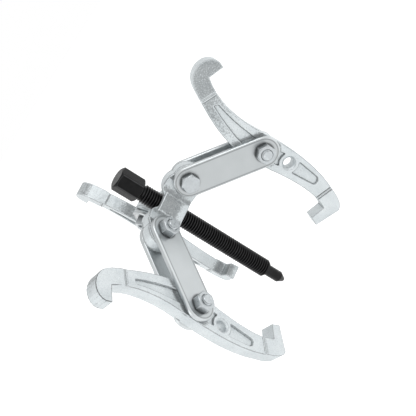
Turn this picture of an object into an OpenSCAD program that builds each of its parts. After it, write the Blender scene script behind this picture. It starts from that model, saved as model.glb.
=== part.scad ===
// Three-jaw gear puller with reversible double-hook jaws.
// A forcing screw runs through a three-lug yoke. Each lug carries a pair of
// straps on a bolt, and each pair of straps carries a jaw on a second bolt.
// Frame: the origin lies on the screw's axis, in the plane of the three yoke
// bolts. +Z runs along the screw towards its hex head. Arm 1 points along +X.

/* [Forcing screw] */
// Major diameter of the forcing screw's thread
screw_d = 14.3; // [12:0.1:16]
// Threads per inch of the forcing screw
threads_per_inch = 12; // [10:1:16]
// Height of the hex head's top above the yoke bolts
head_top_z = 44.8; // [38:0.1:60]
// Length of the hex head
head_h = 20.5; // [14:0.5:28]
// Size of the hex head across its flats
head_af = 17; // [15:0.5:19]
// Turn of the hex head about the screw's axis
head_turn = -20; // [-30:1:30]
// Distance from the yoke bolts down to the end of the thread
thread_drop = 99.7; // [80:0.1:130]
// Length of the plain relief between the thread and the head
relief_len = 1.6; // [1:0.1:4]

/* [Swivelling nose] */
// Diameter of the nose
nose_d = 9; // [7.5:0.1:10.5]
// Length of the nose's round part
nose_len = 13.8; // [8:0.1:24]
// Length of the nose's cone
cone_len = 5.2; // [3:0.1:8]
// Diameter of the small flat at the cone's end
cone_flat_d = 3.2; // [1:0.1:5]
// Diameter of the spigot that turns inside the screw's end
spigot_d = 5.6; // [4.5:0.1:6.5]
// Length of that spigot
spigot_len = 12; // [8:0.5:18]
// Wire diameter of the retaining ring
ring_wire_d = 1; // [0.8:0.05:1.2]

/* [Yoke] */
// Distance from the screw's axis to a yoke bolt
pivot_r = 28; // [26:0.5:36]
// Height of the hub's face above the yoke bolts, on the head side
hub_up = 8.5; // [6:0.1:12]
// How far the hub's face stands below the lugs, on the nose side
hub_lip = 0.4; // [0.2:0.1:3]
// Distance from the screw's axis to the hub's flats between the lugs
hub_flat_r = 11; // [10:0.5:13]
// Radius of a lug's round end
lug_r = 12.2; // [10:0.1:14]
// Thickness of a lug
lug_t = 10.8; // [8:0.1:12]
// Radius of the crest between a lug's end and the hub
crest_r = 13; // [11:0.1:15]
// Distance from the screw's axis to the crest's middle
crest_mid_r = 19; // [17:0.1:22]
// Height of the crest's middle above the yoke bolts
crest_mid_z = 1.5; // [0:0.1:3]

/* [Straps] */
// Distance between a strap's two holes
strap_pitch = 59; // [50:0.5:75]
// Width of a strap
strap_w = 24; // [20:0.5:28]
// Thickness of a strap
strap_t = 4; // [3:0.1:6]

/* [Jaws] */
// Thickness of a jaw's shank
jaw_t = 10.8; // [8:0.1:12]
// Thickness of a jaw's two hooks
hook_t = 12; // [9:0.1:14]
// Distance between a jaw's two holes
jaw_hole_pitch = 23.3; // [20:0.1:28]
// Half the jaw's width at its holes
jaw_half_w = 10.8; // [9.5:0.1:13]
// Radius of the round bosses about the jaw's holes
boss_r = 8; // [6.5:0.1:9]
// Depth of the pockets in the shank's faces
pocket_depth = 1.6; // [0.8:0.1:2.5]
// Distance along the jaw from its pivot to the upper hook's inside corner
upper_throat_u = 62.3; // [55:0.1:75]
// Distance outwards from the pivot line to the upper hook's inside corner
upper_throat_v = 30.4; // [24:0.1:36]
// Length of the upper hook's gripping face
upper_grip = 12; // [8:0.1:14]
// Distance along the jaw from its pivot to the lower hook's inside corner
lower_throat_u = 67.6; // [58:0.1:85]
// Distance inwards from the pivot line to the lower hook's inside corner
lower_throat_v = 20; // [17:0.1:26]
// Length of the lower hook's gripping face
lower_grip = 11.9; // [8:0.1:14]

/* [Bolts and nuts] */
// Diameter of the pivot bolts
bolt_d = 8; // [6:0.5:9]
// Size of the bolt heads and nuts across their flats
bolt_af = 13; // [11:0.5:14]
// Height of a bolt head
bolt_head_h = 5.3; // [4:0.1:7]
// Height of a nut
nut_h = 6.8; // [5:0.1:8]
// Length of bolt that stands out of its nut
bolt_end_len = 1.8; // [1:0.1:4]

/* [Fits] */
// Radial clearance of the screw in the yoke
screw_clear = 0.08; // [0.05:0.01:0.1]
// Radial clearance of a bolt in the holes it passes through
bolt_clear = 0.08; // [0.05:0.01:0.1]
// Radial clearance of a nut about its bolt
nut_clear = 0.05; // [0.03:0.01:0.1]
// Radial clearance of the nose's spigot in the screw
spigot_clear = 0.06; // [0.03:0.01:0.1]
// Gap on each side between the straps and the lug or jaw between them
side_clear = 0.1; // [0.05:0.05:0.3]

/* [Rest pose] */
// Angle of each arm's straps away from the screw's nose
strap_angle = [55.8, 49.8, 55]; // [20:0.1:100]
// Angle of each arm's jaw away from the screw's axis
jaw_angle = [8.7, 9.6, 16]; // [0:0.1:30]

/* [Hidden] */
$fn = 64;
// Direction of each arm about the screw's axis
ARM_AZIMUTH = [0, 240, 120];
// Side of each arm that the nuts are on: the yoke's bolt, then the jaw's
NUT_SIDE = [[1, -1], [1, 1], [1, 1]];

thread_pitch = 25.4 / threads_per_inch;
thread_depth = 0.6134 * thread_pitch;
crest_flat = thread_pitch / 8;
root_flat = thread_pitch / 4;
flank_len = (thread_pitch - crest_flat - root_flat) / 2;
screw_r = screw_d / 2;
root_r = screw_r - thread_depth;
head_bottom_z = head_top_z - head_h;
thread_top_z = head_bottom_z - relief_len;
thread_bottom_z = -thread_drop;
thread_count = floor((thread_top_z - thread_bottom_z - thread_depth) / thread_pitch);
head_chamfer = 1.4;
head_ac = head_af / cos(30);
// A hexagon's corners are turned off at this angle to its end face
corner_deg = 30;

hub_down = lug_r + hub_lip;

nose_r = nose_d / 2;
nose_gap = 0.1;
spigot_r = spigot_d / 2;
socket_r = spigot_r + spigot_clear;
socket_end_gap = 0.6;
ring_r = ring_wire_d / 2;
ring_sink = 0.6 * ring_wire_d;
ring_mid_r = socket_r + ring_r - ring_sink;
ring_play = 0.06;
ring_slot = ring_wire_d + 2 * ring_play;
ring_z = thread_bottom_z + spigot_len / 2;
ring_open_deg = 40;

strap_gap = max(lug_t, jaw_t) + 2 * side_clear;
strap_inner_y = strap_gap / 2;
strap_outer_y = strap_inner_y + strap_t;
pivot_bore_r = bolt_d / 2 + bolt_clear;
nut_bore_r = bolt_d / 2 + nut_clear;
bolt_ac = bolt_af / cos(30);
bolt_len = 2 * strap_outer_y + nut_h + bolt_end_len;
bore_chamfer = 1.4;
bolt_end_chamfer = 0.8;
// Height of the corners turned off a hexagon: bolt head, then nut
bolt_under_chamfer = 0.1;
bolt_top_chamfer = 0.9;
nut_under_chamfer = 0.6;
nut_top_chamfer = 0.8;

// The jaw's curves are drawn at this half width and grow with it
DRAWN_HALF_W = 10.8;
// Directions of the gripping faces in the jaw's own plane
UPPER_GRIP_DEG = 62.4;
LOWER_GRIP_DEG = 246.8;
// Thickness of each hook's beak, measured back from its gripping face
upper_beak_t = 11.6 * jaw_half_w / DRAWN_HALF_W;
lower_beak_t = 12 * jaw_half_w / DRAWN_HALF_W;
curve_steps = 7;
pocket_steps = 5;
// Half steps between a shank's face and its hooks' faces: the two faces' places
// along the jaw, and the angle at which each step line crosses the jaw
upper_step_at = [0, 2.2];
UPPER_STEP_DEG = 149;
lower_step_at = [2.4, 4.8];
LOWER_STEP_DEG = -26;
// Longer and wider than a hook, for cutting whole hooks out of the outline
hook_reach = 40;
// Half the height of the recess between the two bosses
boss_recess_v = 5.1;

// ---------------------------------------------------------------- functions

function polar(r, deg) = [r * cos(deg), r * sin(deg)];

// Step in the jaw's plane that keeps its share of the jaw's width
function bend(x, y) = [x, y] * jaw_half_w / DRAWN_HALF_W;

// Points of a cubic curve, without its last point
function curve(p0, p1, p2, p3, steps) = [
    for (i = [0:steps - 1])
        let (t = i / steps, s = 1 - t)
            s * s * s * p0 + 3 * s * s * t * p1 + 3 * s * t * t * p2 + t * t * t * p3
];

// ------------------------------------------------------------ forcing screw

// Half section of the vee thread, from its lower end upwards
function thread_section() = [
    for (i = [0:thread_count - 1])
        let (z = thread_bottom_z + thread_depth + i * thread_pitch)
            for (p = [
                [screw_r, z],
                [screw_r, z + crest_flat],
                [root_r, z + crest_flat + flank_len],
                [root_r, z + crest_flat + flank_len + root_flat]
            ]) p
];

module forcing_screw() {
    color([0.1, 0.1, 0.11]) {
        difference() {
            rotate_extrude() polygon(concat(
                [[0, thread_bottom_z], [root_r, thread_bottom_z]],
                thread_section(),
                [[root_r, thread_top_z], [root_r, head_bottom_z], [0, head_bottom_z]]
            ));
            nose_socket();
        }
        hex_head();
    }
}

// Blind hole for the nose's spigot, with a groove for the retaining ring
module nose_socket() {
    translate([0, 0, thread_bottom_z - 1])
        cylinder(r = socket_r, h = 1 + spigot_len + socket_end_gap);
    translate([0, 0, ring_z - ring_slot / 2])
        cylinder(r = ring_mid_r + ring_r + ring_play, h = ring_slot);
}

module hex_head() {
    translate([0, 0, head_bottom_z]) rotate([0, 0, head_turn])
        chamfered_hex(head_ac, head_h, head_chamfer, head_chamfer);
}

// Hexagonal prism whose corners are turned off at the bottom and the top
module chamfered_hex(ac, h, bottom, top) {
    intersection() {
        cylinder(d = ac, h = h, $fn = 6);
        // Cone, full width and cone again, about the hexagon
        rotate_extrude() polygon([
            [0, 0], [ac / 2 - bottom / tan(corner_deg), 0], [ac / 2, bottom],
            [ac / 2, h - top], [ac / 2 - top / tan(corner_deg), h], [0, h]
        ]);
    }
}

// ------------------------------------------------------------------ the nose

module screw_tip() {
    shoulder_z = thread_bottom_z - nose_gap;
    cone_z = shoulder_z - nose_len;
    spigot_top_z = thread_bottom_z + spigot_len;
    groove_r = ring_mid_r - ring_r - ring_play;
    color([0.1, 0.1, 0.11]) rotate_extrude() polygon([
        [0, cone_z - cone_len], [cone_flat_d / 2, cone_z - cone_len],
        [nose_r, cone_z], [nose_r, shoulder_z], [spigot_r, shoulder_z],
        [spigot_r, ring_z - ring_slot / 2], [groove_r, ring_z - ring_slot / 2],
        [groove_r, ring_z + ring_slot / 2], [spigot_r, ring_z + ring_slot / 2],
        [spigot_r, spigot_top_z], [0, spigot_top_z]
    ]);
}

// Split wire ring that keeps the spigot in its socket
module tip_retaining_ring() {
    color("silver") translate([0, 0, ring_z]) rotate([0, 0, ring_open_deg / 2])
        rotate_extrude(angle = 360 - ring_open_deg)
            translate([ring_mid_r, 0]) circle(r = ring_r, $fn = 32);
}

// ---------------------------------------------------------------------- yoke

module yoke() {
    color([0.78, 0.8, 0.82]) difference() {
        union() {
            hub();
            for (az = ARM_AZIMUTH) rotate([0, 0, az]) lug();
        }
        translate([0, 0, -hub_down - 1])
            cylinder(r = screw_r + screw_clear, h = hub_down + crest_mid_z + crest_r + 2);
        for (az = ARM_AZIMUTH) rotate([0, 0, az])
            translate([pivot_r, 0, 0]) rotate([90, 0, 0])
                cylinder(r = pivot_bore_r, h = lug_t + 2, center = true);
    }
}

// Three-sided hub with its flats between the lugs
module hub() {
    translate([0, 0, -hub_down]) cylinder(r = 2 * hub_flat_r, h = hub_down + hub_up, $fn = 3);
}

// Flat lug with a round end about its bolt. Its crest stands above the hub's face
module lug() {
    translate([0, lug_t / 2, 0]) rotate([90, 0, 0]) {
        translate([0, -lug_r, 0]) cube([pivot_r, lug_r + crest_mid_z, lug_t]);
        translate([crest_mid_r, crest_mid_z, 0]) cylinder(r = crest_r, h = lug_t);
        translate([pivot_r, 0, 0]) cylinder(r = lug_r, h = lug_t);
    }
}

// --------------------------------------------------------- placing of an arm

// Puts a shape drawn in the arm's plane (x along the piece, y outwards, z
// across) onto arm i: from a pivot in that plane, leaning deg off the axis
module in_arm(i, pivot, deg) {
    rotate([0, 0, ARM_AZIMUTH[i]]) translate([pivot[0], 0, pivot[1]])
        rotate([0, 90 - deg, 0]) rotate([90, 0, 0]) children();
}

function yoke_pivot() = [pivot_r, 0];
function jaw_pivot(i) = yoke_pivot()
    + strap_pitch * [sin(strap_angle[i]), -cos(strap_angle[i])];

// -------------------------------------------------------------------- straps

// One strap of arm i. Side -1 is the front strap and 1 the rear one
module strap(i, side) {
    color([0.8, 0.82, 0.84]) in_arm(i, yoke_pivot(), strap_angle[i])
        translate([0, 0, -side * (strap_inner_y + strap_t / 2) - strap_t / 2])
            difference() {
                union() {
                    for (x = [0, strap_pitch])
                        translate([x, 0, 0]) cylinder(d = strap_w, h = strap_t);
                    translate([0, -strap_w / 2, 0]) cube([strap_pitch, strap_w, strap_t]);
                }
                for (x = [0, strap_pitch])
                    translate([x, 0, -1]) cylinder(r = pivot_bore_r, h = strap_t + 2);
            }
}

// ---------------------------------------------------------------------- jaws

// Inside corners and tips of the two hooks. The upper hook opens outwards at
// the head's end, and the lower one opens inwards at the nose's end
upper_corner = [-upper_throat_u, upper_throat_v];
upper_tip = upper_corner + polar(upper_grip, UPPER_GRIP_DEG);
lower_corner = [lower_throat_u, -lower_throat_v];
lower_tip = lower_corner + polar(lower_grip, LOWER_GRIP_DEG);

// Backs of the hooks, and the waists where they meet the shank
upper_heel = upper_corner + polar(upper_beak_t, UPPER_GRIP_DEG + 120);
upper_crown = upper_tip + bend(-4, 2);
upper_root = upper_corner + bend(4.1, -18.4);
upper_waist = bend(-26, -5.6);
lower_nose = lower_tip + bend(6.6, -3.8);
lower_heel = lower_corner + [lower_beak_t, 0];
lower_root = lower_corner + bend(-5.6, 18);
inner_mid = bend(20, -10.6);
outer_mid = bend(-10, 12.2);
spare_hole = [jaw_hole_pitch, 0];

// Outline of a whole jaw in its own plane, with the pivot at the origin
function jaw_outline() = concat(
    curve(upper_corner, upper_corner + bend(9.3, -9.4), outer_mid + bend(-22, 0.4), outer_mid,
        curve_steps),
    curve(outer_mid, outer_mid + bend(24, -0.8), lower_root + bend(-20, 10.4), lower_root,
        curve_steps),
    curve(lower_root, lower_root + bend(11, -5.4), lower_heel + bend(2.6, 8.6), lower_heel,
        curve_steps),
    [lower_nose, lower_tip],
    curve(lower_corner, lower_corner + bend(-8.6, 6.4), inner_mid + bend(20, -0.1), inner_mid,
        curve_steps),
    curve(inner_mid, inner_mid + bend(-15, -0.4), upper_waist + bend(14, -4.4), upper_waist,
        curve_steps),
    curve(upper_waist, upper_waist + bend(-12, 4.2), upper_root + bend(10, -6.8), upper_root,
        curve_steps),
    curve(upper_root, upper_root + bend(-7.8, 5.2), upper_heel + bend(0.2, -8.6), upper_heel,
        curve_steps),
    curve(upper_heel, upper_heel + bend(-0.2, 8.4), upper_crown + bend(-6.6, 1.6), upper_crown,
        curve_steps),
    [upper_crown, upper_tip]
);

// Long pocket between the upper hook and the pivot's boss
function long_pocket() =
    let (top = upper_corner + bend(12.6, -16.4), foot = bend(-7, -5.4))
        concat(
            curve(top, top + bend(11, -7), foot + bend(-16, 5.2), foot, pocket_steps),
            curve(bend(-7, 6.2), bend(-20, 7.2), top + bend(14, -2.4), top + bend(2.6, 2.4),
                pocket_steps),
            [top + bend(2.6, 2.4)]
        );

// Short pocket between the spare hole's boss and the lower hook
function short_pocket() = [
    spare_hole + bend(4, 4.8), lower_corner + bend(-18, 19.6),
    lower_corner + bend(-16.4, 17.4), lower_corner + bend(-16.4, 14.6),
    lower_corner + bend(-18, 13.2), spare_hole + bend(4, -5.8)
];

module jaw(i) {
    color([0.78, 0.8, 0.82]) in_arm(i, jaw_pivot(i), jaw_angle[i]) difference() {
        union() {
            difference() {
                plate(jaw_outline(), jaw_t);
                for (side = [-1, 1]) shank_pockets(side);
            }
            // The hooks stand proud of the shank's faces, each with a half step
            for (level = [0, 1]) intersection() {
                plate(jaw_outline(), level == 0 ? (jaw_t + hook_t) / 2 : hook_t);
                union() {
                    beyond(upper_root, UPPER_STEP_DEG, upper_step_at[level]);
                    beyond(lower_corner + [-12, 6], LOWER_STEP_DEG, lower_step_at[level]);
                }
            }
        }
        for (x = [0, jaw_hole_pitch]) translate([x, 0, 0]) chamfered_bore(jaw_t);
    }
}

// Block that starts at a line square to a direction and holds a hook beyond it
module beyond(start, deg, away) {
    translate(start) rotate(deg) translate([away, -hook_reach, -hook_t])
        cube([hook_reach, 1.5 * hook_reach, 2 * hook_t]);
}

// Flat piece of a given outline, centred on the arm's plane
module plate(outline, thickness) {
    translate([0, 0, -thickness / 2]) linear_extrude(thickness) polygon(outline);
}

// Hollows of one face of the shank, which leave the bosses at full thickness
module shank_pockets(side) {
    floor_z = side * (jaw_t / 2 - pocket_depth);
    difference() {
        translate([0, 0, floor_z + side * jaw_t / 2]) {
            plate(long_pocket(), jaw_t);
            plate(short_pocket(), jaw_t);
            translate([jaw_hole_pitch / 2, 0, 0])
                cube([jaw_hole_pitch, 2 * boss_recess_v, jaw_t], center = true);
        }
        for (x = [0, jaw_hole_pitch])
            translate([x, 0, 0]) cylinder(r = boss_r, h = 3 * jaw_t, center = true);
    }
}

module chamfered_bore(thickness) {
    cylinder(r = pivot_bore_r, h = thickness + 2, center = true);
    for (side = [0, 1]) mirror([0, 0, side])
        translate([0, 0, thickness / 2 - bore_chamfer])
            cylinder(r1 = pivot_bore_r, r2 = pivot_bore_r + 2 * bore_chamfer,
                h = 2 * bore_chamfer);
}

// ------------------------------------------------------------ bolts and nuts

// Puts a fastener drawn along z onto arm i's pivot, with its nut end on a side
module across(i, pivot, nut_side) {
    rotate([0, 0, ARM_AZIMUTH[i]]) translate([pivot[0], 0, pivot[1]])
        rotate([-90 * nut_side, 0, 0]) children();
}

module hex_bolt() {
    color([0.76, 0.78, 0.8]) {
        translate([0, 0, -strap_outer_y - bolt_head_h])
            mirror([0, 0, 1]) translate([0, 0, -bolt_head_h])
                chamfered_hex(bolt_ac, bolt_head_h, bolt_under_chamfer, bolt_top_chamfer);
        translate([0, 0, -strap_outer_y]) {
            cylinder(d = bolt_d, h = bolt_len - bolt_end_chamfer);
            translate([0, 0, bolt_len - bolt_end_chamfer])
                cylinder(d1 = bolt_d, d2 = bolt_d - 2 * bolt_end_chamfer, h = bolt_end_chamfer);
        }
    }
}

module hex_nut() {
    color([0.74, 0.76, 0.78]) translate([0, 0, strap_outer_y]) difference() {
        chamfered_hex(bolt_ac, nut_h, nut_under_chamfer, nut_top_chamfer);
        translate([0, 0, -1]) cylinder(r = nut_bore_r, h = nut_h + 2);
    }
}

module yoke_bolt(i) { across(i, yoke_pivot(), NUT_SIDE[i][0]) hex_bolt(); }
module yoke_nut(i) { across(i, yoke_pivot(), NUT_SIDE[i][0]) hex_nut(); }
module jaw_bolt(i) { across(i, jaw_pivot(i), NUT_SIDE[i][1]) hex_bolt(); }
module jaw_nut(i) { across(i, jaw_pivot(i), NUT_SIDE[i][1]) hex_nut(); }

// --------------------------------------------------------------------- nodes

yoke();
forcing_screw();
screw_tip();
tip_retaining_ring();
for (i = [0:2]) {
    arm = str("arm_", i + 1);
    strap(i, -1);
    strap(i, 1);
    jaw(i);
    yoke_bolt(i);
    yoke_nut(i);
    jaw_bolt(i);
    jaw_nut(i);
}
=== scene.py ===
# %% [markdown]
# # A three-arm gear puller
# A gear puller draws a gear or bearing off its shaft. A black forcing screw
# runs through a forged yoke, and three arms hang from the yoke's lugs. Each arm
# is a pair of flat straps with a forged double-hook jaw bolted between them.
# The CAD model gives every size and place. Blender gives the looks: rounded
# forgings, rolled strap edges, a real helical thread, and metal finishes with
# wear and with painted light and shade.

import math

import bmesh
import bpy
import numpy as np
from mathutils import Matrix, Vector


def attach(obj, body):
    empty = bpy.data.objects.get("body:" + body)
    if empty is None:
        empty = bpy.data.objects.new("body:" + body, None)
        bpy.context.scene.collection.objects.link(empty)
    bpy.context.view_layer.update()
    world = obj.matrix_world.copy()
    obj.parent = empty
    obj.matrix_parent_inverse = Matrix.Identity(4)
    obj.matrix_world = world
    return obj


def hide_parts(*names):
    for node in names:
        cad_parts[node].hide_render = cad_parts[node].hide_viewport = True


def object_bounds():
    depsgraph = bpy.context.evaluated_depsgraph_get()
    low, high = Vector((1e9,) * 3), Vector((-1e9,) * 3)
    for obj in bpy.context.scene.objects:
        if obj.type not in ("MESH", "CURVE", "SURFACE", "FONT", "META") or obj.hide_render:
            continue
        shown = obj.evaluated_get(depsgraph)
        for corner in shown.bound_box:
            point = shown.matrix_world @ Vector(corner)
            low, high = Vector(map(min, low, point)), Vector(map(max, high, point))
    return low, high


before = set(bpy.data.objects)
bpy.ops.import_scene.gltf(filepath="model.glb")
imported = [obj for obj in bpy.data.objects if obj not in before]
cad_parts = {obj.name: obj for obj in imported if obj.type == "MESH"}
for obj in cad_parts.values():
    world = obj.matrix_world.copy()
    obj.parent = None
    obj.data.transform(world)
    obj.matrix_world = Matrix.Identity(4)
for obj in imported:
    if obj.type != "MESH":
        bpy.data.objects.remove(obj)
cad_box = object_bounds()
MM = 0.001
ARMS = (1, 2, 3)

# %% [markdown]
# ## Numbers shared with the CAD model
# The script can't read the CAD source, so the sizes that its own pieces need
# are repeated here, in millimetres and degrees. Each arm leans by its own
# angle, because the tool was photographed with its arms let fall.

# %% Sizes in millimetres
AZIMUTH = {1: 0, 2: 240, 3: 120}
STRAP_LEAN = {1: 55.8, 2: 49.8, 3: 55.0}
JAW_LEAN = {1: 8.7, 2: 9.6, 3: 16.0}
PIVOT_R = 28.0
STRAP_PITCH, STRAP_WIDTH, STRAP_THICK, STRAP_INNER = 59.0, 24.0, 4.0, 5.5
HOLE_R = 4.08
# A thread's depth as a share of its pitch
THREAD_DEPTH = 0.6134
SCREW_R, PITCH = 7.15, 25.4 / 12
ROOT_R = SCREW_R - THREAD_DEPTH * PITCH
THREAD_LOW, THREAD_HIGH = -99.7, 22.7
HEAD_LOW, HEAD_HIGH, HEAD_FLATS, HEAD_TURN = 24.3, 44.8, 17.0, -20
BOLT_R, BOLT_PITCH, BOLT_FLATS, BOLT_HEAD = 4.0, 1.25, 13.0, 5.3
NUT_HIGH, BOLT_END = 6.8, 1.8
# Which way the nut looks on an arm's yoke pivot and on its jaw pivot
NUT_SIDE = {1: (1, -1), 2: (1, 1), 3: (1, 1)}


# %% Places on an arm
def jaw_pivot(arm):
    """Radius and height of the bolt that carries an arm's jaw."""
    lean = math.radians(STRAP_LEAN[arm])
    return PIVOT_R + STRAP_PITCH * math.sin(lean), -STRAP_PITCH * math.cos(lean)


def pivot_place(arm, radius, height):
    """Matrix of a pivot: its x points away from the screw, and its z up."""
    return (Matrix.Rotation(math.radians(AZIMUTH[arm]), 4, "Z")
            @ Matrix.Translation((radius * MM, 0, height * MM)))


def arm_place(arm, radius, height, lean):
    """Matrix that puts a shape drawn along x onto an arm, at its lean."""
    return (pivot_place(arm, radius, height)
            @ Matrix.Rotation(math.radians(90 - lean), 4, "Y")
            @ Matrix.Rotation(math.radians(90), 4, "X"))


# %% [markdown]
# ## The camera
# The picture was taken from a little above the yoke bolts and rolled, so that
# the screw points down to the right. The camera's three axes were fitted to
# points that can be found both in the picture and on the CAD model.

# %% Camera
CAMERA_DISTANCE, SENSOR_WIDTH = 490.3, 36.0
# In pixels of the picture: its width, the focal length and the optical centre
PICTURE, FOCAL, CENTRE_X, CENTRE_Y = 416.0, 648.0, 166.01, 207.65
image_right = Vector((0.57528, -0.14295, -0.80537))
image_up = Vector((0.78466, 0.37453, 0.49400))
towards_camera = Vector((0.23102, -0.91613, 0.32762))
camera_data = bpy.data.cameras.new("photo_camera")
camera_data.sensor_width = SENSOR_WIDTH
camera_data.lens = SENSOR_WIDTH * FOCAL / PICTURE
camera_data.shift_x = (PICTURE / 2 - CENTRE_X) / PICTURE
camera_data.shift_y = (CENTRE_Y - PICTURE / 2) / PICTURE
camera_data.clip_start, camera_data.clip_end = 0.01, 20.0
camera = bpy.data.objects.new("photo_camera", camera_data)
bpy.context.scene.collection.objects.link(camera)
camera.matrix_world = (Matrix.Translation(towards_camera * CAMERA_DISTANCE * MM)
                       @ Matrix((image_right, image_up, towards_camera)).transposed().to_4x4())
bpy.context.scene.camera = camera
print("camera at", [round(c, 3) for c in camera.location])

# %% [markdown]
# ## Shader arithmetic in Python
# Materials, the sky and the thread are graphs of nodes. The class Wire lets a
# graph be written as sums: it wraps a socket, and +, - and * on it add Math
# nodes. Every other node but a group's own inlet and outlet comes from one
# method of the class Graph, which sets the node up and then fills its inputs.


# %% A socket that can be added and multiplied
def plug(slot, value):
    """Links a wire to a node's input, or writes a plain value there."""
    if isinstance(value, Wire):
        value.tree.links.new(value.socket, slot)
    else:
        slot.default_value = value


class Wire:
    """One output of a node."""

    def __init__(self, tree, socket):
        self.tree, self.socket = tree, socket

    def math(self, operation, other=0.0, swapped=False):
        """A Math node on this wire and other, or on other and this wire."""
        node = self.tree.nodes.new("ShaderNodeMath")
        node.operation = operation
        first, second = (other, self) if swapped else (self, other)
        plug(node.inputs[0], first)
        plug(node.inputs[1], second)
        return Wire(self.tree, node.outputs[0])

    def __add__(self, other):
        return self.math("ADD", other)

    def __sub__(self, other):
        return self.math("SUBTRACT", other)

    def __mul__(self, other):
        return self.math("MULTIPLY", other)

    def __rsub__(self, other):
        return self.math("SUBTRACT", other, swapped=True)

    __radd__, __rmul__ = __add__, __mul__


# %% A graph that is built one node at a time
class Graph:
    def __init__(self, tree):
        self.tree = tree

    def node(self, kind, settings=None, output=0, **sockets):
        """Adds a node: first its settings, then what goes into its inputs."""
        made = self.tree.nodes.new(kind)
        for key, value in (settings or {}).items():
            if key == "stops":
                while len(made.color_ramp.elements) < len(value):
                    made.color_ramp.elements.new(0.5)
                for element, (place, grey) in zip(made.color_ramp.elements, value):
                    element.position, element.color = place, (grey, grey, grey, 1)
            else:
                setattr(made, key, value)
        for key, value in sockets.items():
            plug(made.inputs[key.replace("_", " ")], value)
        return Wire(self.tree, made.outputs[output])


# %% A material is such a graph
class Finish(Graph):
    def __init__(self, name):
        self.material = bpy.data.materials.new(name)
        self.material.use_nodes = True
        super().__init__(self.material.node_tree)
        self.shader = self.tree.nodes["Principled BSDF"]

    def noise(self, scale, detail=2.0, stretch=(1, 1, 1)):
        """Noise on Object coordinates, about zero, with its scale per metre."""
        place = self.node("ShaderNodeTexCoord", output="Object")
        stretched = self.node("ShaderNodeMapping", Vector=place, Scale=stretch)
        return self.node("ShaderNodeTexNoise", Vector=stretched, Scale=scale, Detail=detail) - 0.5

    def mix(self, factor, low, high, blend="MIX"):
        """Blends two colours. A Mix node repeats its names, so its sockets go by number."""
        mixed = self.node("ShaderNodeMix", {"data_type": "RGBA", "blend_type": blend}, output=2)
        for number, value in ((0, factor), (6, low), (7, high)):
            plug(mixed.socket.node.inputs[number], value)
        return mixed

    def shaded(self, colour, stops, speckle=0.0):
        """Colour times a grey that the mesh's edge attribute picks from stops."""
        edge = self.node("ShaderNodeAttribute", {"attribute_name": "edge"}, output="Fac")
        stops = [(0.5 + 0.5 * place, grey) for place, grey in stops]
        grey = self.node("ShaderNodeValToRGB", {"stops": stops}, Fac=edge * 0.5 + 0.5 + speckle)
        return self.mix(1.0, colour, grey, "MULTIPLY")

    def relief(self, height, depth):
        """Bump whose height is given in metres by depth."""
        return self.node("ShaderNodeBump", Height=height, Strength=1.0, Distance=depth)

    def set(self, **sockets):
        for key, value in sockets.items():
            plug(self.shader.inputs[key.replace("_", " ")], value)
        return self.material


# %% [markdown]
# ## Forged and zinc-plated steel
# The jaws and the yoke are drop forged, shot-blasted and bright zinc plated.
# Blasting leaves a fine orange-peel grain and the dies leave slow dents, so two
# sizes of noise drive the bump. The zinc is a pale metal with a cool tint that
# turns a little duller in patches, and fine specks break up its shading.
#
# Outer edges are painted bright, as highlights, and inner corners painted dark,
# as shade. Each mesh carries that as an attribute called edge: above zero on an
# outer edge and below zero in an inner corner. A table of stops turns it into
# greys. A forging's stops dip once on the way up to a bright edge, because a
# painted dark line runs beside each painted highlight.


# %% Forged zinc
# Greys by the edge attribute: painted shade in inner corners, painted highlights on outer edges
FORGED_SHADE = ((-1, 0.08), (-0.3, 0.45), (-0.08, 0.85), (0.14, 0.85), (0.40, 0.32), (1, 1.0))


def make_forged_zinc():
    finish = Finish("forged_zinc")
    grain = finish.noise(1500.0, 3.0)
    dents = finish.noise(240.0, 2.0)
    patches = finish.noise(70.0, 3.0)
    specks = finish.noise(1000.0, 2.0)
    plain = finish.mix(0.5 + 1.6 * patches + 2.0 * grain,
                       (0.63, 0.68, 0.70, 1), (0.85, 0.895, 0.91, 1))
    return finish.set(Base_Color=finish.shaded(plain, FORGED_SHADE, 0.32 * specks),
                      Metallic=0.7,
                      Roughness=0.46 + 0.20 * patches + 0.10 * grain,
                      Normal=finish.relief(grain + 1.6 * dents, 0.00030))


# %% [markdown]
# ## Plated straps, bolts and nuts
# The straps are sheared from rolled bar, so their faces are much smoother than
# the forgings. Noise that is drawn out in height leaves faint streaks, and the
# face keeps the soft gradients that the photograph shows. Bolts and nuts are a
# little darker, and rubbed in finer patches.


# %% Plated strap and fastener steel
# Greys by the edge attribute, from painted shade up to painted highlight
PLATED_SHADE = ((-1, 0.10), (-0.4, 0.45), (0, 0.86), (0.8, 1.0))


def make_strap_zinc():
    finish = Finish("strap_zinc")
    streaks = finish.noise(220.0, 4.0, stretch=(1.0, 1.0, 0.35))
    haze = finish.noise(45.0, 2.0)
    speck = finish.noise(2600.0, 1.0)
    plain = finish.mix(0.5 + 1.3 * haze, (0.52, 0.55, 0.56, 1), (0.64, 0.67, 0.68, 1))
    return finish.set(Base_Color=finish.shaded(plain, PLATED_SHADE), Metallic=0.9,
                      Roughness=0.33 + 0.14 * haze + 0.06 * streaks,
                      Normal=finish.relief(streaks + 0.35 * speck, 0.00006))


def make_fastener_zinc():
    finish = Finish("fastener_zinc")
    rub = finish.noise(500.0, 3.0)
    speck = finish.noise(1800.0, 2.0)
    plain = finish.mix(0.5 + 1.2 * rub, (0.44, 0.47, 0.485, 1), (0.63, 0.665, 0.685, 1))
    return finish.set(Base_Color=finish.shaded(plain, PLATED_SHADE), Metallic=0.9,
                      Roughness=0.30 + 0.16 * rub,
                      Normal=finish.relief(rub + 0.4 * speck, 0.00007))
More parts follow.
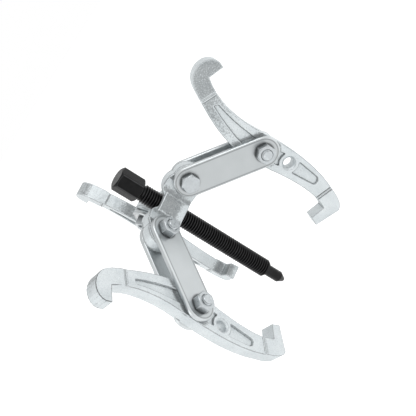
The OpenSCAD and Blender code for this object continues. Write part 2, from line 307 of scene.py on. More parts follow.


# %% [markdown]
# ## Black oxide
# The forcing screw is hardened and chemically blackened. Black oxide is a thin
# film over steel: nearly black face on, with a soft satin shine, and slightly
# paler where handling rubs it. A dark metal gives both. The ring inside the
# screw's end is bare drawn wire.


# %% Black oxide and spring wire
# Greys by the edge attribute: thread crests and edges are painted paler, partly wear and partly painted
# highlight
BLACK_SHADE = ((-0.3, 0.04), (0, 0.17), (0.15, 0.22), (0.7, 0.8))


def make_black_oxide():
    finish = Finish("black_oxide")
    wipe = finish.noise(160.0, 3.0)
    speck = finish.noise(1400.0, 2.0)
    plain = finish.mix(0.5 + 1.5 * wipe, (0.045, 0.045, 0.046, 1), (0.10, 0.10, 0.104, 1))
    return finish.set(Base_Color=finish.shaded(plain, BLACK_SHADE), Metallic=0.85,
                      Roughness=0.38 + 0.22 * wipe + 0.08 * speck,
                      Normal=finish.relief(speck + wipe, 0.00008))


def make_spring_wire():
    finish = Finish("spring_wire")
    drawn = finish.noise(900.0, 2.0)
    return finish.set(Base_Color=(0.55, 0.55, 0.57, 1), Metallic=1.0,
                      Roughness=0.3 + 0.15 * drawn)


forged_zinc, strap_zinc, fastener_zinc = make_forged_zinc(), make_strap_zinc(), make_fastener_zinc()
black_oxide, spring_wire = make_black_oxide(), make_spring_wire()
print("finishes:", [m.name for m in bpy.data.materials][-5:])

# %% [markdown]
# ## Helpers for meshes
# Every finished piece is a plain mesh whose object sits at the origin. One
# helper turns a bmesh into a mesh and one puts a mesh into the scene. One
# freezes modifiers into the mesh, and one hands the finished piece to the
# frame: which body it moves with, which CAD node it stands for, and which
# finish it takes. Shapes are drawn in millimetres and scaled to metres.

# %% Mesh helpers
WELD = 0.002


def object_from(name, mesh):
    made = bpy.data.objects.new(name, mesh)
    bpy.context.scene.collection.objects.link(made)
    return made


def mesh_from(name, bm, sharp_deg=None):
    bmesh.ops.recalc_face_normals(bm, faces=bm.faces)
    mesh = bpy.data.meshes.new(name)
    bm.to_mesh(mesh)
    bm.free()
    mesh.shade_smooth()
    if sharp_deg is not None:
        mesh.set_sharp_from_angle(angle=math.radians(sharp_deg))
    return mesh


def metre_mesh(name, bm, sharp_deg):
    """Mesh in metres from a bmesh in millimetres, with its seams welded."""
    bmesh.ops.remove_doubles(bm, verts=bm.verts, dist=WELD)
    bmesh.ops.scale(bm, vec=(MM,) * 3, verts=bm.verts)
    return mesh_from(name, bm, sharp_deg)


def freeze(made):
    """Replaces an object's mesh by the result of its modifiers."""
    bpy.context.view_layer.update()
    evaluated = made.evaluated_get(bpy.context.evaluated_depsgraph_get())
    ready = bpy.data.meshes.new_from_object(evaluated)
    made.modifiers.clear()
    made.data = ready
    return made


def hand_over(made, body, nodes, material):
    made.data.materials.clear()
    made.data.materials.append(material)
    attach(made, body)
    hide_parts(*nodes)


# %% [markdown]
# ## Painted light and shade that follow the shape
# The attribute edge is measured on each mesh: a vertex whose neighbours all lie
# below it is on an outer edge. Painted light and shade that follow no edge, such
# as the painted shadow beside a strap, are added as soft lines. A line is given
# by its middle, its width and how bright or dark it is, and a fade by its start
# and its length.


# %% Soft lines and fades
def soft_line(distance, line):
    middle, width, change = line
    return change * np.exp(-((distance - middle) / width) ** 2)


def fade_in(distance, fade):
    """Zero up to the fade's start, and one from its length further on."""
    start, length = fade
    return np.clip((distance - start) / length, 0, 1)


# %% How far each vertex stands out of or into its surroundings
def mark_edges(mesh, gain, passes=2, lines=None):
    """Stores the attribute edge: the surface's bend times gain, plus lines.

    The bend is evened out with its neighbours' as often as passes says. Lines
    is a function of the vertices' places in millimetres, and gain may be one.
    """
    count = len(mesh.vertices)
    place, normal = np.empty(count * 3), np.empty(count * 3)
    mesh.vertices.foreach_get("co", place)
    mesh.vertices.foreach_get("normal", normal)
    pair = np.empty(len(mesh.edges) * 2, dtype=np.int32)
    mesh.edges.foreach_get("vertices", pair)
    place, normal = place.reshape(-1, 3) / MM, normal.reshape(-1, 3)
    one, two = pair.reshape(-1, 2).T
    ends = np.concatenate((one, two))
    along = place[two] - place[one]
    square = np.maximum((along ** 2).sum(1), 1e-6)
    bend = np.concatenate((-(normal[one] * along).sum(1) / square,
                           (normal[two] * along).sum(1) / square))
    links = np.maximum(np.bincount(ends, minlength=count), 1)
    edge = np.bincount(ends, bend, count) / links
    for _ in range(passes):
        around = np.bincount(ends, np.concatenate((edge[two], edge[one])), count) / links
        edge = 0.5 * edge + 0.5 * around
    edge = np.clip(edge * (gain(place) if callable(gain) else gain), -1.0, 1.0)
    if lines is not None:
        edge = np.clip(edge + lines(place), -1.0, 1.0)
    attribute = mesh.attributes.new("edge", "FLOAT", "POINT")
    attribute.data.foreach_set("value", edge.astype(np.float32))
    return np.percentile(edge, (1, 50, 99)).round(2)


# %% [markdown]
# ## Forgings from the CAD solids
# A forging has no sharp edge: steel flows round every corner of the die. The
# CAD solid has the right shape with sharp edges, so its copy is rebuilt from
# small cubes (a voxel remesh) and relaxed. Relaxing rounds every edge, pocket
# and boss by about the same small radius, as a blasted forging has it. Half of
# the faces are enough afterwards.

# %% Turn a sharp solid into a forging
KEEP_FACES = 0.5


def forged_copy(node, name, voxel_mm, relax, into=Matrix.Identity(4)):
    """Rounded copy of a CAD node, with its vertices moved by the matrix into."""
    bm = bmesh.new()
    bm.from_mesh(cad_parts[node].data)
    bmesh.ops.remove_doubles(bm, verts=bm.verts, dist=WELD * MM)
    bm.transform(into)
    made = object_from(name, mesh_from(name, bm))
    remesh = made.modifiers.new("cubes", "REMESH")
    remesh.mode, remesh.voxel_size, remesh.use_smooth_shade = "VOXEL", voxel_mm * MM, True
    smooth = made.modifiers.new("relax", "SMOOTH")
    smooth.factor, smooth.iterations = 0.5, relax
    thin = made.modifiers.new("thin", "DECIMATE")
    thin.ratio = KEEP_FACES
    return freeze(made)


# %% [markdown]
# ## The three jaws
# All jaws come from one die, so one is made, in its own flat frame where the
# voxels line up with its faces, and is then put on each arm. In that frame the
# pivot is at the origin, x runs along the jaw to the lower hook, and z runs
# through its thickness.

# %% One jaw in its own frame
JAW_VOXEL, JAW_RELAX = 0.26, 3
jaw_places = {arm: arm_place(arm, *jaw_pivot(arm), JAW_LEAN[arm]) for arm in ARMS}
jaw_pattern = forged_copy("arm_1_jaw", "jaw_pattern", JAW_VOXEL, JAW_RELAX,
                          jaw_places[1].inverted())
print("jaw faces:", len(jaw_pattern.data.polygons))

# %% [markdown]
# ### Painted light and shade on the jaws
# Each jaw has its own painted light and shade. Arm 1's jaw is painted darker
# towards its upper hook, as shade, and arm 3's a little. Painted highlights and
# shade lines run beside the step of each hook, and painted shade lies about the
# strap that covers part of the jaw.

# %% Where each jaw's light and shade are painted
# Painted shade on each arm, fading in towards the jaw's upper hook; its straps take a share of it
ARM_PAINTED_SHADE, ARM_SHADE_FADE = {1: 0.30, 2: 0.0, 3: 0.05}, (15, 42)
# Each hook's step: a point on it, and the direction in degrees away from it
STEPS = {"upper": ((-58.2, 12.0), 149), "lower": ((55.6, -14.0), -26)}
# The painted highlight and shade lines beside it: how far past the step, and how bright or dark
STEP_LINE_WIDTH = 0.35
STEP_LINES = {1: {"upper": ((0.9, 1.0), (1.6, 1.3)),
                  "lower": ((2.3, -0.9), (3.3, 0.9), (4.3, -0.7))},
              2: {"upper": ((1.1, -0.6), (2.0, 0.9)), "lower": ((2.4, -0.3), (3.3, 0.8))},
              3: {"upper": ((1.1, -0.9), (2.0, 0.9)), "lower": ((2.4, -0.8), (3.3, 0.8))}}
# Painted shade on the narrow sides, which lie nearer the middle than the faces do
FACE_HEIGHT = 5.2
SIDE_SHADE = {1: (), 2: ((-74.5, 1.6, -0.35),),
              3: ((-72.5, 2.2, -0.28), (-57.5, 0.7, -0.50), (-40, 7, -0.38), (63, 4, -0.42))}
# Painted shade round the strap's end, by distance from the pivot, and painted shadow beside its edge
STRAP_END_SHADE = (12.5, 2.0, -0.3)
STRAP_EDGE_SHADOW, STRAP_EDGE_FADE = (1.2, 1.5, -0.40), (3.2, 0.5)


def jaw_shade(place, arm):
    """Painted highlight and shade lines at the hooks' steps, painted shade about the strap, and painted
    shade towards the upper hook.
    """
    x, y, height = place[:, 0], place[:, 1], np.abs(place[:, 2])
    face = soft_line(np.hypot(x, y), STRAP_END_SHADE) - ARM_PAINTED_SHADE[arm] * fade_in(-x, ARM_SHADE_FADE)
    for hook, (start, degrees) in STEPS.items():
        turn = math.radians(degrees)
        away = (x - start[0]) * math.cos(turn) + (y - start[1]) * math.sin(turn)
        for past, change in STEP_LINES[arm][hook]:
            face += soft_line(away, (past, STEP_LINE_WIDTH, change))
    side = sum(soft_line(x, line) for line in SIDE_SHADE[arm])
    fold = math.radians(STRAP_LEAN[arm] - JAW_LEAN[arm])
    from_strap = y * math.cos(fold) - x * math.sin(fold) - STRAP_WIDTH / 2
    beside_strap = soft_line(from_strap, STRAP_EDGE_SHADOW) * (x < 0)
    return (np.where(height > FACE_HEIGHT, face, side)
            + beside_strap * fade_in(height, STRAP_EDGE_FADE))


# %% How strongly a jaw's painted edge highlights and shade show
JAW_GAIN = 0.9
HOOK_GAIN, HOOK_FADE = {1: 1.2, 2: 0.0, 3: 0.0}, (45, 15)
BEAK_GAIN, BEAK_FADE = {1: 0.0, 2: -2.4, 3: 0.0}, (20, 8)


def jaw_gain(place, arm):
    """Arm 1's upper hook has brighter painted highlights on its edges, and the beak of arm 2 painted dark
    ones.
    """
    hook = fade_in(-place[:, 0], HOOK_FADE)
    beak = hook * fade_in(place[:, 1], BEAK_FADE)
    return JAW_GAIN + HOOK_GAIN[arm] * hook + BEAK_GAIN[arm] * beak


# %% A jaw on each arm
for arm in ARMS:
    mesh = jaw_pattern.data.copy()
    spread = mark_edges(mesh, lambda place: jaw_gain(place, arm),
                        lines=lambda place: jaw_shade(place, arm))
    mesh.transform(jaw_places[arm])
    jaw = object_from(f"arm_{arm}_forged_jaw", mesh)
    hand_over(jaw, f"arm_{arm}_jaw_body", [f"arm_{arm}_jaw"], forged_zinc)
    print("arm", arm, "jaw edge shade:", spread)
bpy.data.objects.remove(jaw_pattern)

# %% [markdown]
# ## The yoke
# The yoke is a forging too. Its lugs blend into the hub, so it is relaxed a
# little more than the jaws. Opposite each lug the hub has a flat, which is
# greyer, and painted shade lies at the lugs' roots and on the rims of their ends.

# %% Yoke
YOKE_VOXEL, YOKE_RELAX, YOKE_GAIN = 0.32, 10, 1.2
# The flat, by distance from the screw: its half width, and a fade upwards
FLAT_GREY, FLAT_HALF, FLAT_FADE = (11.0, 0.5, -0.38), 6.5, (-9, 4)
# Painted shade at the lug's root, by distance from the screw, as far as this from the lug's faces
ROOT_SHADE, ROOT_EDGE = (13.5, 2.5, -0.35), 1.0
# Painted shade on the rim of the lug's round end, by distance from the lug's middle plane
RIM_SHADE, RIM_WIDTH, RIM_LONG = (5.4, 1.8, -0.55), 0.8, 6
LUG_R = 12.2


def hub_shade(place):
    """Greyer on the hub's flats, and painted shade about the lugs' roots and ends."""
    x, y, z = place.T
    shade = np.zeros(len(place))
    for arm in ARMS:
        turn = math.radians(AZIMUTH[arm])
        out = x * math.cos(turn) + y * math.sin(turn)
        side = np.abs(y * math.cos(turn) - x * math.sin(turn))
        shade += soft_line(-out, FLAT_GREY) * (side < FLAT_HALF) * fade_in(z, FLAT_FADE)
        shade += soft_line(out, ROOT_SHADE) * (np.abs(side - STRAP_INNER) < ROOT_EDGE)
        rim = (np.hypot(out - PIVOT_R, z) > LUG_R - RIM_WIDTH) & (out > PIVOT_R - RIM_LONG)
        shade += soft_line(side, RIM_SHADE) * rim
    return shade


forged_yoke = forged_copy("yoke", "forged_yoke", YOKE_VOXEL, YOKE_RELAX)
print("yoke edge shade:", mark_edges(forged_yoke.data, YOKE_GAIN, lines=hub_shade))
hand_over(forged_yoke, "yoke_body", ["yoke"], forged_zinc)
print("yoke faces:", len(forged_yoke.data.polygons))

# %% [markdown]
# ## Rings and skins
# Straps, screw, nose, bolts and nuts are all skins through closed rings of
# points. A ring can be any outline, as long as all rings of a skin have the
# same number of points. Flat ends are filled with triangles.


# %% Rings, skins and caps
def circle_at(x, r, steps):
    return [(x + r * math.cos(math.tau * k / steps), r * math.sin(math.tau * k / steps))
            for k in range(steps)]


def loft(bm, rings):
    """Skin through closed rings of (x, y, z). Returns the first and last edges."""
    loops = [[bm.verts.new(point) for point in points] for points in rings]
    for low, high in zip(loops, loops[1:]):
        for k in range(len(low)):
            n = (k + 1) % len(low)
            bm.faces.new((low[k], low[n], high[n], high[k]))
    ends = []
    for loop in (loops[0], loops[-1]):
        pairs = zip(loop, loop[1:] + loop[:1])
        ends.append([bm.edges.get(pair) or bm.edges.new(pair) for pair in pairs])
    return ends


def cap(bm, edges):
    """Fills the flat area that the edges enclose."""
    bmesh.ops.triangle_fill(bm, use_beauty=True, use_dissolve=False, edges=edges)


# %% [markdown]
# ## The straps
# A strap is a flat bar with round ends and two holes. Its long edges are
# rolled over, with a painted highlight along the bar. The outline is drawn
# as rings that step inwards through a quarter circle, and the flat faces are
# filled between the last rings. A few more rings on the flat faces give the
# soft lines of painted light and shade enough vertices.

# %% Outlines of a strap
EDGE_ROUND, EDGE_STEPS, END_STEPS, EDGE_FLATS = 1.3, 5, 24, (0.4, 0.8, 1.3)
HOLE_ROUND, HOLE_ROUND_STEPS, HOLE_STEPS, HOLE_FLATS = 0.4, 2, 40, (2.2, 2.8, 3.4, 4.2)


def stadium(inset):
    """Outline of the bar, moved inwards by inset."""
    r = STRAP_WIDTH / 2 - inset
    right = [math.radians(-90 + 180 * k / END_STEPS) for k in range(END_STEPS + 1)]
    ends = [(STRAP_PITCH + r * math.cos(t), r * math.sin(t)) for t in right]
    return ends + [(-r * math.cos(t), -r * math.sin(t)) for t in right]


def rounded_levels(radius, steps, flats):
    """Pairs (inset, z) that go up a strap's rounded side, from face to face.

    Flats are the steps of the rings that lie on both faces, further in.
    """
    turn = [math.radians(90 * k / steps) for k in range(steps + 1)]
    low = [(radius * (1 - math.sin(t)), radius * (1 - math.cos(t))) for t in turn]
    low = [(low[0][0] + step, low[0][1]) for step in reversed(flats)] + low
    return low + [(inset, STRAP_THICK - z) for inset, z in reversed(low)]


def strap_mesh(name):
    bm = bmesh.new()
    rim = rounded_levels(EDGE_ROUND, EDGE_STEPS, EDGE_FLATS)
    hole = rounded_levels(HOLE_ROUND, HOLE_ROUND_STEPS, HOLE_FLATS)
    ends = [loft(bm, [[(x, y, z) for x, y in stadium(inset)] for inset, z in rim])]
    for centre in (0, STRAP_PITCH):
        ends.append(loft(bm, [[(x, y, z) for x, y in circle_at(centre, HOLE_R + inset, HOLE_STEPS)]
                              for inset, z in hole]))
    for face in (0, 1):
        cap(bm, [edge for pair in ends for edge in pair[face]])
    return metre_mesh(name, bm, sharp_deg=40)


# %% Straps
# Painted highlight and shade lines by distance from the strap's edge, and painted shadow by distance from
# the middle of a bolt
ROLLED_EDGE_HIGHLIGHT, INNER_SHADE_LINE, BOLT_SHADOW = (0.4, 0.5, 0.8), (1.7, 0.35, -0.5), (7.0, 0.7, -0.7)
# Share of the arm's painted shade that its straps take
STRAP_PAINTED_SHADE = 0.27


def strap_shade(place, inner):
    """Painted highlight on the rolled edge with a painted grey line inside it, and
    painted shadow about the bolts.

    The face at height inner looks at the other strap, and is painted brightest, as light in the gap.
    """
    x, y, z = place.T
    past = np.maximum(np.maximum(-x, x - STRAP_PITCH), 0)
    inset = STRAP_WIDTH / 2 - np.hypot(past, y)
    from_bolt = np.hypot(np.minimum(np.abs(x), np.abs(x - STRAP_PITCH)), y)
    painted_light = (soft_line(inset, ROLLED_EDGE_HIGHLIGHT) + soft_line(inset, INNER_SHADE_LINE)
            + soft_line(from_bolt, BOLT_SHADOW))
    return np.where(np.abs(z - inner) < 0.1, 1.0, painted_light)


for arm in ARMS:
    for side, label in ((-1, "front"), (1, "rear")):
        mesh = strap_mesh(f"arm_{arm}_{label}_bar")
        inner = 0 if side < 0 else STRAP_THICK
        mark_edges(mesh, 0.0, lines=lambda place: strap_shade(place, inner) - STRAP_PAINTED_SHADE * ARM_PAINTED_SHADE[arm])
        across = -side * (STRAP_INNER + STRAP_THICK / 2) - STRAP_THICK / 2
        mesh.transform(arm_place(arm, PIVOT_R, 0, STRAP_LEAN[arm])
                       @ Matrix.Translation((0, 0, across * MM)))
        bar = object_from(mesh.name, mesh)
        hand_over(bar, f"arm_{arm}_links", [f"arm_{arm}_{label}_strap"], strap_zinc)
print("strap faces:", len(bar.data.polygons))

# %% [markdown]
# ## A thread from Geometry Nodes
# A thread is a rule: a vee profile that climbs by one pitch per turn. The tree
# starts from a flat grid. One side of the grid runs round the screw and the
# other runs along it, four rows to a pitch: crest, crest, root, root. Each
# point's place on the screw is worked out from its row and column. Sliding the
# rows up by one pitch per turn makes the helix, and merging closes the seam.

# %% Thread tree
COLUMNS, PROFILE_ROWS = 72, 4
# Shares of the pitch that the crest, a flank and the root take
CREST, FLANK, ROOT = 0.125, 0.3125, 0.25
# How steeply the thread grows out of the root at its two ends
RUN_OUT = 1.3


def build_thread_tree():
    tree = bpy.data.node_groups.new("thread", "GeometryNodeTree")
    face = tree.interface
    for name, kind in (("Pitch", "Float"), ("Crest Radius", "Float"), ("Root Radius", "Float"),
                       ("Low", "Float"), ("High", "Float"), ("Columns", "Int"), ("Rows", "Int")):
        face.new_socket(name, in_out="INPUT", socket_type=f"NodeSocket{kind}")
    face.new_socket("Metal", in_out="INPUT", socket_type="NodeSocketMaterial")
    face.new_socket("Geometry", in_out="OUTPUT", socket_type="NodeSocketGeometry")
    graph = Graph(tree)
    inlet = tree.nodes.new("NodeGroupInput")
    given = {s.name: Wire(tree, s) for s in inlet.outputs if s.name}
    columns, low, high = given["Columns"], given["Low"], given["High"]
    crest, root = given["Crest Radius"], given["Root Radius"]

    grid = graph.node("GeometryNodeMeshGrid", Vertices_X=given["Rows"], Vertices_Y=columns)
    index = graph.node("GeometryNodeInputIndex")
    row = (index + 0.5).math("DIVIDE", columns).math("FLOOR")
    column = index - row * columns
    round_share = column.math("DIVIDE", columns - 1.0)
    turn = (row * (1 / PROFILE_ROWS) + 0.01).math("FLOOR")
    step = row - PROFILE_ROWS * turn
    past_crest, past_flank, past_root = [step.math("GREATER_THAN", k + 0.5) for k in range(3)]
    share = CREST * past_crest + FLANK * past_flank + ROOT * past_root
    height = low + (turn + share + round_share - 1.0) * given["Pitch"]
    height = height.math("MAXIMUM", low).math("MINIMUM", high)
    start = root + RUN_OUT * (height - low)
    end = root + RUN_OUT * (high - height)
    radius = crest - (crest - root) * past_flank
    radius = radius.math("MINIMUM", start.math("MINIMUM", end))
    angle = round_share * math.tau
    point = graph.node("ShaderNodeCombineXYZ", X=radius * angle.math("COSINE"),
                       Y=radius * angle.math("SINE"), Z=height)

    placed = graph.node("GeometryNodeSetPosition", Geometry=grid, Position=point)
    closed = graph.node("GeometryNodeMergeByDistance", Geometry=placed, Distance=0.001 * MM)
    real = graph.node("GeometryNodeRealizeInstances", Geometry=closed)
    metal = graph.node("GeometryNodeSetMaterial", Geometry=real, Material=given["Metal"])
    plug(tree.nodes.new("NodeGroupOutput").inputs[0], metal)
    return tree


thread_tree = build_thread_tree()
print("thread tree nodes:", len(thread_tree.nodes))


# %% A thread as a bmesh
def thread_skin(pitch, crest, root, low, high, metal):
    """Bmesh, in millimetres, of a thread between two heights, open at both ends."""
    made = object_from("thread", bpy.data.meshes.new("thread"))
    nodes = made.modifiers.new("thread", "NODES")
    nodes.node_group = thread_tree
    rows = PROFILE_ROWS * (math.ceil((high - low) / pitch) + 2) + 1
    values = {"Pitch": pitch * MM, "Crest Radius": crest * MM, "Root Radius": root * MM,
              "Low": low * MM, "High": high * MM, "Columns": COLUMNS + 1, "Rows": rows, "Metal": metal}
    for item in thread_tree.interface.items_tree:
        if item.item_type == "SOCKET" and item.in_out == "INPUT":
            nodes[item.identifier] = values[item.name]
    bm = bmesh.new()
    bm.from_mesh(freeze(made).data)
    bmesh.ops.scale(bm, vec=(1 / MM,) * 3, verts=bm.verts)
    bpy.data.objects.remove(made)
    return bm


# %% [markdown]
# ## Turned and hexagonal parts
# Screw, nose, bolts and nuts are all turned on one axis, and their hexagons are
# bars whose corners are turned off at 30 degrees. So each is a stack of rings:
# a ring's radius is the smaller of the hexagon and the turned cone. Rings don't
# shrink to a point on the axis: the last one is tiny, and is capped.

# %% Rings of turned parts
AXIS_R = 0.05
CHAMFER_DEG, CHAMFER_STEPS = 30, 6
# The hexagon's corners are eased from this angle off the middle of a flat
EASED_FROM, EASED_TURN, EASED_CUT = math.radians(27.5), 0.5, 0.02


def ring(z, radius, columns=COLUMNS):
    return [(x, y, z) for x, y in circle_at(0, radius, columns)]


def hex_ring(z, flats, limit, turn_deg):
    """Ring of a hexagon with slightly eased corners, no wider than limit."""
    points = []
    for k in range(COLUMNS):
        angle = math.tau * k / COLUMNS
        off_flat = abs((angle - math.radians(turn_deg) + math.pi / 6) % (math.pi / 3) - math.pi / 6)
        eased = max(off_flat - EASED_FROM, 0)
        radius = flats / 2 / math.cos(off_flat - eased * EASED_TURN) - flats * EASED_CUT * eased
        radius = min(radius, limit)
        points.append((radius * math.cos(angle), radius * math.sin(angle), z))
    return points


def hex_stack(low, high, flats, under, top, turn_deg=0):
    """Rings up a hexagon whose corners are turned off below and above."""
    across = flats / math.cos(math.pi / 6) / 2
    slope = math.tan(math.radians(CHAMFER_DEG))
    rings = []
    for rise in (under * k / CHAMFER_STEPS for k in range(CHAMFER_STEPS + 1)):
        rings.append(hex_ring(low + rise, flats, across - (under - rise) / slope, turn_deg))
    for rise in (top * k / CHAMFER_STEPS for k in range(CHAMFER_STEPS + 1)):
        rings.append(hex_ring(high - top + rise, flats, across - rise / slope, turn_deg))
    return rings


# %% [markdown]
# ## The forcing screw
# The thread comes from the tree. Below it a turned socket takes the nose's
# spigot, and above it a plain relief leads to the hexagon that the spanner
# turns. The rings share the thread's root radius and columns, so merging joins
# everything into one closed skin. A split wire ring sits half in the socket's
# groove and half in the spigot's, and keeps the nose in the screw.

# %% Forcing screw
SOCKET_R, SOCKET_DEEP = 2.86, 12.6
RING_Z, SLOT, GROOVE_OUT, GROOVE_IN = THREAD_LOW + 6.0, 1.12, 3.32, 2.20
NECK_FLARE, HEAD_UNDER, HEAD_TOP, HEAD_EDGE = 0.3, 1.4, 1.15, 0.25
HEAD_FACE_R = HEAD_FLATS / 2 - 1.1
# The head's end face is painted darker, as shade where the key lamp falls
SCREW_GAIN, HEAD_GREY, HEAD_FACE_GREY = 1.2, -0.08, -0.22


def grooved(wall, groove):
    """Profile up a wall, with the ring's groove across it."""
    low, high = RING_Z - SLOT / 2, RING_Z + SLOT / 2
    return [(low, wall), (low, groove), (high, groove), (high, wall)]


def screw_mesh():
    bm = thread_skin(PITCH, SCREW_R, ROOT_R, THREAD_LOW, THREAD_HIGH, black_oxide)
    bottom = THREAD_LOW + SOCKET_DEEP
    socket = [(THREAD_LOW, ROOT_R), (THREAD_LOW, SOCKET_R)] + grooved(SOCKET_R, GROOVE_OUT)
    socket += [(bottom, SOCKET_R), (bottom, AXIS_R)]
    neck = [(THREAD_HIGH, ROOT_R), (HEAD_LOW - NECK_FLARE, ROOT_R), (HEAD_LOW, ROOT_R + NECK_FLARE)]
    head = hex_stack(HEAD_LOW, HEAD_HIGH - HEAD_EDGE, HEAD_FLATS, HEAD_UNDER, HEAD_TOP, HEAD_TURN)
    top = [ring(HEAD_HIGH, HEAD_FACE_R), ring(HEAD_HIGH, AXIS_R)]
    for rings in ([ring(z, r) for z, r in socket], [ring(z, r) for z, r in neck] + head + top):
        cap(bm, loft(bm, rings)[1])
    return metre_mesh("threaded_screw", bm, sharp_deg=28)


def head_shade(place):
    """The hexagon is blacker than the thread, and its end face is painted blacker still, as shade."""
    z = place[:, 2]
    return np.where(z > HEAD_HIGH - 0.05, HEAD_FACE_GREY, np.where(z > HEAD_LOW, HEAD_GREY, 0.0))


screw = object_from("threaded_screw", screw_mesh())
print("screw edge shade:", mark_edges(screw.data, SCREW_GAIN, passes=0, lines=head_shade))
hand_over(screw, "screw_body", ["forcing_screw"], black_oxide)
print("screw faces:", len(screw.data.polygons))

# %% [markdown]
# ## The nose
# The nose is a plain turned pin with a blunt cone that centres itself in the
# shaft's centre hole. Small fillets at its shoulder and cone catch the light, and
# the edge attribute paints a highlight on them as well.
# The wire ring that keeps it in the screw is the CAD piece, in bare wire.

# %% Nose
SPIGOT_R, SPIGOT_LONG, SPIGOT_CHAMFER = 2.8, 12.0, 0.4
NOSE_R, NOSE_GAP, NOSE_LONG, CONE_LONG = 4.5, 0.1, 13.8, 5.2
NOSE_COLUMNS, NOSE_GAIN = 48, 0.6


def nose_mesh():
    """Skin of a profile of (height, radius), from the cone's tip to the spigot's end."""
    shoulder = THREAD_LOW - NOSE_GAP
    cone = shoulder - NOSE_LONG
    tip, end = cone - CONE_LONG, THREAD_LOW + SPIGOT_LONG
    profile = [(tip, AXIS_R), (tip, 1.1), (tip + 0.15, 1.5), (tip + 0.45, 1.85),
               (cone - 0.35, NOSE_R - 0.3), (cone - 0.1, NOSE_R - 0.08), (cone + 0.3, NOSE_R),
               (shoulder - 0.25, NOSE_R), (shoulder, NOSE_R - 0.2), (shoulder, SPIGOT_R)]
    profile += grooved(SPIGOT_R, GROOVE_IN)
    profile += [(end - SPIGOT_CHAMFER, SPIGOT_R), (end, SPIGOT_R - SPIGOT_CHAMFER), (end, AXIS_R)]
    bm = bmesh.new()
    for edges in loft(bm, [ring(z, r, NOSE_COLUMNS) for z, r in profile]):
        cap(bm, edges)
    return metre_mesh("turned_nose", bm, sharp_deg=35)


nose = object_from("turned_nose", nose_mesh())
print("nose edge shade:", mark_edges(nose.data, NOSE_GAIN, passes=0))
hand_over(nose, "nose_body", ["screw_tip"], black_oxide)
wire_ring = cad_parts["tip_retaining_ring"]
wire_ring.data.materials.clear()
wire_ring.data.materials.append(spring_wire)

# %% [markdown]
# ## Bolts and nuts
# Each pivot has a hexagon bolt and a nut. The bolt's end stands out of its nut
# and shows its thread, which is made by the same tree at the bolt's own pitch.

# %% Bolts and nuts
OUTER = STRAP_INNER + STRAP_THICK
BOLT_TOP = OUTER + NUT_HIGH + BOLT_END
BOLT_ROOT = BOLT_R - THREAD_DEPTH * BOLT_PITCH
# The bolt's plain shank ends and its thread starts inside the nut
SHANK_END, BOLT_THREAD_LOW = OUTER + 0.6, OUTER + 1
HEAD_CHAMFERS, NUT_CHAMFERS, BOLT_FACE_R = (0.9, 0.1), (0.6, 0.8), BOLT_FLATS / 2 - 1.0
NUT_BORE, BORE_CHAMFER = BOLT_R + 0.05, 0.5
# Painted highlights on the edges of heads and nuts, and painted shade at their feet, where they meet a strap
FASTENER_GAIN, FOOT_SHADE_LINE = 0.35, (0, 2.3, -0.70)


def bolt_mesh(name):
    """Bolt along z: head below the straps, threaded end above them."""
    bm = thread_skin(BOLT_PITCH, BOLT_R, BOLT_ROOT, BOLT_THREAD_LOW, BOLT_TOP, fastener_zinc)
    cap(bm, loft(bm, [ring(BOLT_TOP, BOLT_ROOT), ring(BOLT_TOP, AXIS_R)])[1])
    face = [ring(-OUTER - BOLT_HEAD, AXIS_R), ring(-OUTER - BOLT_HEAD, BOLT_FACE_R)]
    head = hex_stack(-OUTER - BOLT_HEAD, -OUTER, BOLT_FLATS, *HEAD_CHAMFERS)
    shank = [ring(-OUTER, BOLT_R), ring(SHANK_END, BOLT_R), ring(BOLT_THREAD_LOW, BOLT_ROOT)]
    cap(bm, loft(bm, face + head + shank)[0])
    return metre_mesh(name, bm, sharp_deg=30)


def nut_mesh(name):
    """Nut along z, with its bore's upper edge turned off."""
    bm = bmesh.new()
    top = OUTER + NUT_HIGH
    outside = hex_stack(OUTER, top, BOLT_FLATS, *NUT_CHAMFERS)
    inside = [ring(top, NUT_BORE + BORE_CHAMFER), ring(top - BORE_CHAMFER, NUT_BORE), ring(OUTER, NUT_BORE)]
    loft(bm, [ring(OUTER, NUT_BORE)] + outside + inside)
    return metre_mesh(name, bm, sharp_deg=30)


def foot_shade(place):
    """Painted shade where a head or nut meets its strap, fading towards its top."""
    return soft_line(np.abs(place[:, 2]) - OUTER, FOOT_SHADE_LINE)


# %% A bolt and a nut on each pivot
for arm in ARMS:
    pivots = {"yoke": (PIVOT_R, 0, NUT_SIDE[arm][0]), "jaw": (*jaw_pivot(arm), NUT_SIDE[arm][1])}
    for where, (radius, height, nut_side) in pivots.items():
        across_arm = pivot_place(arm, radius, height) @ Matrix.Rotation(math.radians(-90 * nut_side), 4, "X")
        for kind, maker in (("bolt", bolt_mesh), ("nut", nut_mesh)):
            mesh = maker(f"arm_{arm}_{where}_hex_{kind}")
            mark_edges(mesh, FASTENER_GAIN, passes=0, lines=foot_shade)
            mesh.transform(across_arm)
            hand_over(object_from(mesh.name, mesh), f"arm_{arm}_links", [f"arm_{arm}_{where}_{kind}"],
                      fastener_zinc)
print("nut faces:", len(mesh.polygons))

# %% [markdown]
# ## Light, floor and background
# The photograph is a cut-out on pure white, and its metal mirrors that white.
# The world is white up to a quarter of the way to the zenith and greyer above
# it, so that every face that looks up is told apart from the faces that look
# out. The floor glows only where it is seen, directly or mirrored, so that it
# is white round the puller and in its metal, and still takes its shadow.

# %% World
# Stops of the sky: 0.5 is the horizon and 1 the zenith
SKY = ((0.70, 1.0), (0.80, 0.90), (0.95, 0.80))


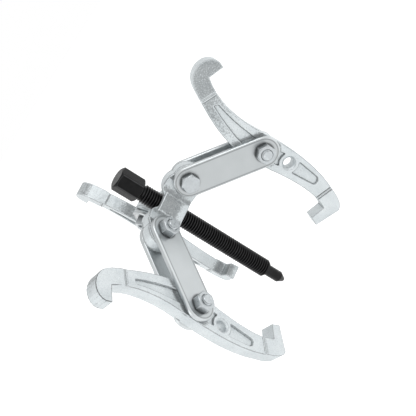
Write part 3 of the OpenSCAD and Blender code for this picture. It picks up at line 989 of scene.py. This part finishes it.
def make_world():
    world = bpy.data.worlds.new("studio")
    world.use_nodes = True
    graph = Graph(world.node_tree)
    place = graph.node("ShaderNodeTexCoord", output="Generated")
    climb = graph.node("ShaderNodeSeparateXYZ", output="Z", Vector=place) * 0.5 + 0.5
    sky = world.node_tree.nodes["Background"]
    plug(sky.inputs["Color"], graph.node("ShaderNodeValToRGB", {"stops": SKY}, Fac=climb))
    plug(sky.inputs["Strength"], 1.0)
    bpy.context.scene.world = world


make_world()

# %% Lamps
LAMP_AIM = (0, 0, -0.03)


def soft_lamp(name, place, size, watts):
    data = bpy.data.lights.new(name, "AREA")
    data.shape, data.size, data.energy = "SQUARE", size, watts
    lamp = bpy.data.objects.new(name, data)
    bpy.context.scene.collection.objects.link(lamp)
    direction = Vector(LAMP_AIM) - Vector(place)
    lamp.matrix_world = (Matrix.Translation(place)
                         @ direction.to_track_quat("-Z", "Y").to_matrix().to_4x4())


soft_lamp("key_lamp", (0.60, -0.35, 0.70), 0.5, 2.4)
soft_lamp("fill_lamp", (-0.7, -0.3, 0.35), 0.6, 1.0)

# %% Floor
NOSE_DROP = 14.0
FLOOR_R, FLOOR_GLOW = 3.0, 0.47


def make_floor():
    """Round white floor below the lowest place that the nose can be turned to."""
    bm = bmesh.new()
    bmesh.ops.create_circle(bm, cap_ends=True, radius=FLOOR_R, segments=96)
    level = cad_box[0][2] - NOSE_DROP * MM
    bmesh.ops.translate(bm, vec=(0, 0, level), verts=bm.verts)
    floor = object_from("floor", mesh_from("floor", bm))
    finish = Finish("floor_white")
    floor.data.materials.append(finish.set(Base_Color=(0.8, 0.8, 0.8, 1), Roughness=0.95,
                                           Specular_IOR_Level=0.1))
    camera_ray, glossy_ray, clear_ray = [finish.node("ShaderNodeLightPath", output=f"Is {kind} Ray")
                                         for kind in ("Camera", "Glossy", "Transmission")]
    seen = camera_ray.math("MAXIMUM", glossy_ray.math("MAXIMUM", clear_ray))
    glow = finish.node("ShaderNodeEmission", Strength=seen * FLOOR_GLOW)
    both = finish.node("ShaderNodeAddShader")
    plug(both.socket.node.inputs[0], Wire(finish.tree, finish.shader.outputs[0]))
    plug(both.socket.node.inputs[1], glow)
    plug(finish.tree.nodes["Material Output"].inputs[0], both)
    print("floor at", round(level, 4))


make_floor()
bpy.context.scene.view_settings.view_transform = "Standard"
